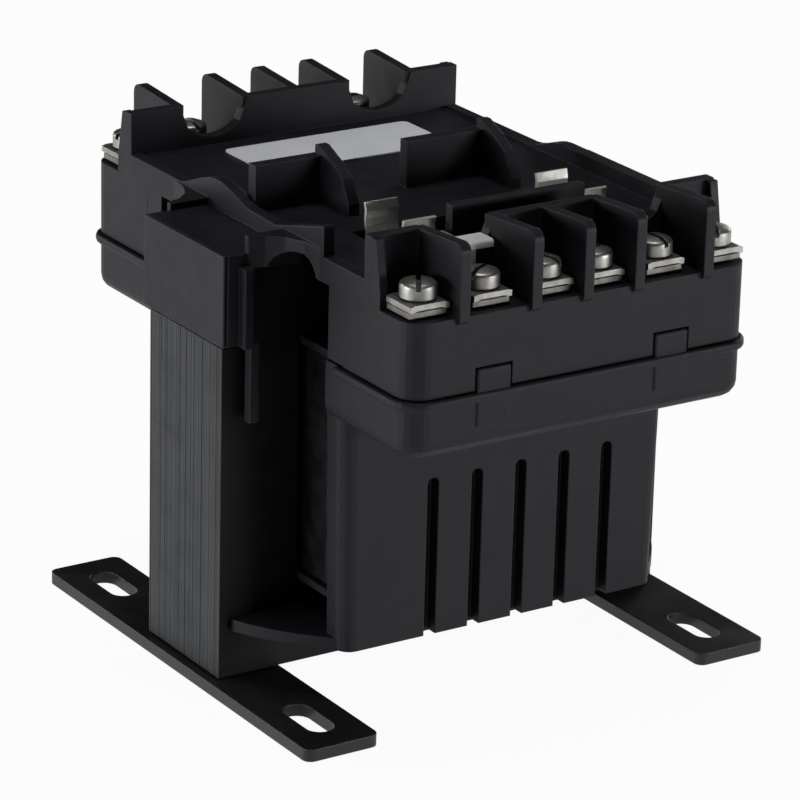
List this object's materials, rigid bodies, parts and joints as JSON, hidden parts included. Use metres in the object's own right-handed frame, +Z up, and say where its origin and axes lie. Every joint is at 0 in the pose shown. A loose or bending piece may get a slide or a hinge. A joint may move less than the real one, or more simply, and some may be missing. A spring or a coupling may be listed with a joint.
{
  "type": "control transformer",
  "caption": "Open control transformer with a laminated core, ribbed black coil shrouds, screw terminal rows front and back, fuse clips and slotted mounting straps",
  "frame": {"origin": "middle of the underside of the two mounting straps, at the mounting plane", "axes": "X runs along the terminal rows to the right, -Y is the front with the shroud seen in the picture, +Z is up, away from the mounting plane"},
  "size_m": [0.0896, 0.101, 0.0854],
  "materials": {
    "strap_paint": "black paint on steel, edges a little worn",
    "core_varnish": "dark varnish on stacked steel sheets",
    "bobbin_nylon": "black moulded nylon",
    "copper_winding": null,
    "black_tape": "black insulating tape",
    "black_thermoplastic": "black moulded thermoplastic, satin",
    "plated_steel": "zinc plated steel",
    "tinned_brass": "tin plated brass"
  },
  "bodies": {
    "body": {"left_strap": "strap_paint", "right_strap": "strap_paint", "core_e_stack": "core_varnish", "core_i_stack": "core_varnish", "bobbin": "bobbin_nylon", "winding_inner": "copper_winding", "winding_outer": "copper_winding", "coil_wrap": "black_tape", "front_shroud": "black_thermoplastic", "back_shroud": "black_thermoplastic", "terminal_board": "black_thermoplastic", "terminal_plate_front_1": "tinned_brass", "terminal_plate_front_2": "tinned_brass", "terminal_plate_front_3": "tinned_brass", "terminal_plate_front_4": "tinned_brass", "terminal_plate_front_5": "tinned_brass", "terminal_plate_front_6": "tinned_brass", "terminal_plate_back_1": "tinned_brass", "terminal_plate_back_2": "tinned_brass", "terminal_plate_back_3": "tinned_brass", "terminal_plate_back_4": "tinned_brass", "terminal_plate_back_5": "tinned_brass", "terminal_plate_back_6": "tinned_brass", "fuse_clip_left": "tinned_brass", "fuse_clip_right": "tinned_brass"},
    "saddle_body_front_1": {"saddle_front_1": "plated_steel"},
    "screw_body_front_1": {"screw_front_1": "plated_steel"},
    "saddle_body_front_2": {"saddle_front_2": "plated_steel"},
    "screw_body_front_2": {"screw_front_2": "plated_steel"},
    "saddle_body_front_3": {"saddle_front_3": "plated_steel"},
    "screw_body_front_3": {"screw_front_3": "plated_steel"},
    "saddle_body_front_4": {"saddle_front_4": "plated_steel"},
    "screw_body_front_4": {"screw_front_4": "plated_steel"},
    "saddle_body_front_5": {"saddle_front_5": "plated_steel"},
    "screw_body_front_5": {"screw_front_5": "plated_steel"},
    "saddle_body_front_6": {"saddle_front_6": "plated_steel"},
    "screw_body_front_6": {"screw_front_6": "plated_steel"},
    "saddle_body_back_1": {"saddle_back_1": "plated_steel"},
    "screw_body_back_1": {"screw_back_1": "plated_steel"},
    "saddle_body_back_2": {"saddle_back_2": "plated_steel"},
    "screw_body_back_2": {"screw_back_2": "plated_steel"},
    "saddle_body_back_3": {"saddle_back_3": "plated_steel"},
    "screw_body_back_3": {"screw_back_3": "plated_steel"},
    "saddle_body_back_4": {"saddle_back_4": "plated_steel"},
    "screw_body_back_4": {"screw_back_4": "plated_steel"},
    "saddle_body_back_5": {"saddle_back_5": "plated_steel"},
    "screw_body_back_5": {"screw_back_5": "plated_steel"},
    "saddle_body_back_6": {"saddle_back_6": "plated_steel"},
    "screw_body_back_6": {"screw_back_6": "plated_steel"}
  },
  "joints": [
    {"name": "saddle_lift_front_1", "type": "slide", "parent": "body", "child": "saddle_body_front_1", "axis": [0, 0, 1], "range_m": [0, 0.00238]},
    {"name": "screw_turn_front_1", "type": "hinge", "parent": "saddle_body_front_1", "child": "screw_body_front_1", "pos_m": [-0.02785, -0.0446, 0.0753], "axis": [0, 0, 1], "range_deg": [-45, 1260]},
    {"name": "saddle_lift_front_2", "type": "slide", "parent": "body", "child": "saddle_body_front_2", "axis": [0, 0, 1], "range_m": [0, 0.00238]},
    {"name": "screw_turn_front_2", "type": "hinge", "parent": "saddle_body_front_2", "child": "screw_body_front_2", "pos_m": [-0.01635, -0.0446, 0.0753], "axis": [0, 0, 1], "range_deg": [-45, 1260]},
    {"name": "saddle_lift_front_3", "type": "slide", "parent": "body", "child": "saddle_body_front_3", "axis": [0, 0, 1], "range_m": [0, 0.00238]},
    {"name": "screw_turn_front_3", "type": "hinge", "parent": "saddle_body_front_3", "child": "screw_body_front_3", "pos_m": [-0.00485, -0.0446, 0.0753], "axis": [0, 0, 1], "range_deg": [-45, 1260]},
    {"name": "saddle_lift_front_4", "type": "slide", "parent": "body", "child": "saddle_body_front_4", "axis": [0, 0, 1], "range_m": [0, 0.00238]},
    {"name": "screw_turn_front_4", "type": "hinge", "parent": "saddle_body_front_4", "child": "screw_body_front_4", "pos_m": [0.00485, -0.0446, 0.0753], "axis": [0, 0, 1], "range_deg": [-45, 1260]},
    {"name": "saddle_lift_front_5", "type": "slide", "parent": "body", "child": "saddle_body_front_5", "axis": [0, 0, 1], "range_m": [0, 0.00238]},
    {"name": "screw_turn_front_5", "type": "hinge", "parent": "saddle_body_front_5", "child": "screw_body_front_5", "pos_m": [0.01635, -0.0446, 0.0753], "axis": [0, 0, 1], "range_deg": [-45, 1260]},
    {"name": "saddle_lift_front_6", "type": "slide", "parent": "body", "child": "saddle_body_front_6", "axis": [0, 0, 1], "range_m": [0, 0.00238]},
    {"name": "screw_turn_front_6", "type": "hinge", "parent": "saddle_body_front_6", "child": "screw_body_front_6", "pos_m": [0.02785, -0.0446, 0.0753], "axis": [0, 0, 1], "range_deg": [-45, 1260]},
    {"name": "saddle_lift_back_1", "type": "slide", "parent": "body", "child": "saddle_body_back_1", "axis": [0, 0, 1], "range_m": [0, 0.00238]},
    {"name": "screw_turn_back_1", "type": "hinge", "parent": "saddle_body_back_1", "child": "screw_body_back_1", "pos_m": [-0.02785, 0.0446, 0.0753], "axis": [0, 0, 1], "range_deg": [-45, 1260]},
    {"name": "saddle_lift_back_2", "type": "slide", "parent": "body", "child": "saddle_body_back_2", "axis": [0, 0, 1], "range_m": [0, 0.00238]},
    {"name": "screw_turn_back_2", "type": "hinge", "parent": "saddle_body_back_2", "child": "screw_body_back_2", "pos_m": [-0.01635, 0.0446, 0.0753], "axis": [0, 0, 1], "range_deg": [-45, 1260]},
    {"name": "saddle_lift_back_3", "type": "slide", "parent": "body", "child": "saddle_body_back_3", "axis": [0, 0, 1], "range_m": [0, 0.00238]},
    {"name": "screw_turn_back_3", "type": "hinge", "parent": "saddle_body_back_3", "child": "screw_body_back_3", "pos_m": [-0.00485, 0.0446, 0.0753], "axis": [0, 0, 1], "range_deg": [-45, 1260]},
    {"name": "saddle_lift_back_4", "type": "slide", "parent": "body", "child": "saddle_body_back_4", "axis": [0, 0, 1], "range_m": [0, 0.00238]},
    {"name": "screw_turn_back_4", "type": "hinge", "parent": "saddle_body_back_4", "child": "screw_body_back_4", "pos_m": [0.00485, 0.0446, 0.0753], "axis": [0, 0, 1], "range_deg": [-45, 1260]},
    {"name": "saddle_lift_back_5", "type": "slide", "parent": "body", "child": "saddle_body_back_5", "axis": [0, 0, 1], "range_m": [0, 0.00238]},
    {"name": "screw_turn_back_5", "type": "hinge", "parent": "saddle_body_back_5", "child": "screw_body_back_5", "pos_m": [0.01635, 0.0446, 0.0753], "axis": [0, 0, 1], "range_deg": [-45, 1260]},
    {"name": "saddle_lift_back_6", "type": "slide", "parent": "body", "child": "saddle_body_back_6", "axis": [0, 0, 1], "range_m": [0, 0.00238]},
    {"name": "screw_turn_back_6", "type": "hinge", "parent": "saddle_body_back_6", "child": "screw_body_back_6", "pos_m": [0.02785, 0.0446, 0.0753], "axis": [0, 0, 1], "range_deg": [-45, 1260]}
  ],
  "couplings": [
    {"joint": "screw_turn_front_1", "follows": "saddle_lift_front_1", "rad_per_m": 7913.3},
    {"joint": "screw_turn_front_2", "follows": "saddle_lift_front_2", "rad_per_m": 7913.3},
    {"joint": "screw_turn_front_3", "follows": "saddle_lift_front_3", "rad_per_m": 7913.3},
    {"joint": "screw_turn_front_4", "follows": "saddle_lift_front_4", "rad_per_m": 7913.3},
    {"joint": "screw_turn_front_5", "follows": "saddle_lift_front_5", "rad_per_m": 7913.3},
    {"joint": "screw_turn_front_6", "follows": "saddle_lift_front_6", "rad_per_m": 7913.3},
    {"joint": "screw_turn_back_1", "follows": "saddle_lift_back_1", "rad_per_m": 7913.3},
    {"joint": "screw_turn_back_2", "follows": "saddle_lift_back_2", "rad_per_m": 7913.3},
    {"joint": "screw_turn_back_3", "follows": "saddle_lift_back_3", "rad_per_m": 7913.3},
    {"joint": "screw_turn_back_4", "follows": "saddle_lift_back_4", "rad_per_m": 7913.3},
    {"joint": "screw_turn_back_5", "follows": "saddle_lift_back_5", "rad_per_m": 7913.3},
    {"joint": "screw_turn_back_6", "follows": "saddle_lift_back_6", "rad_per_m": 7913.3}
  ]
}
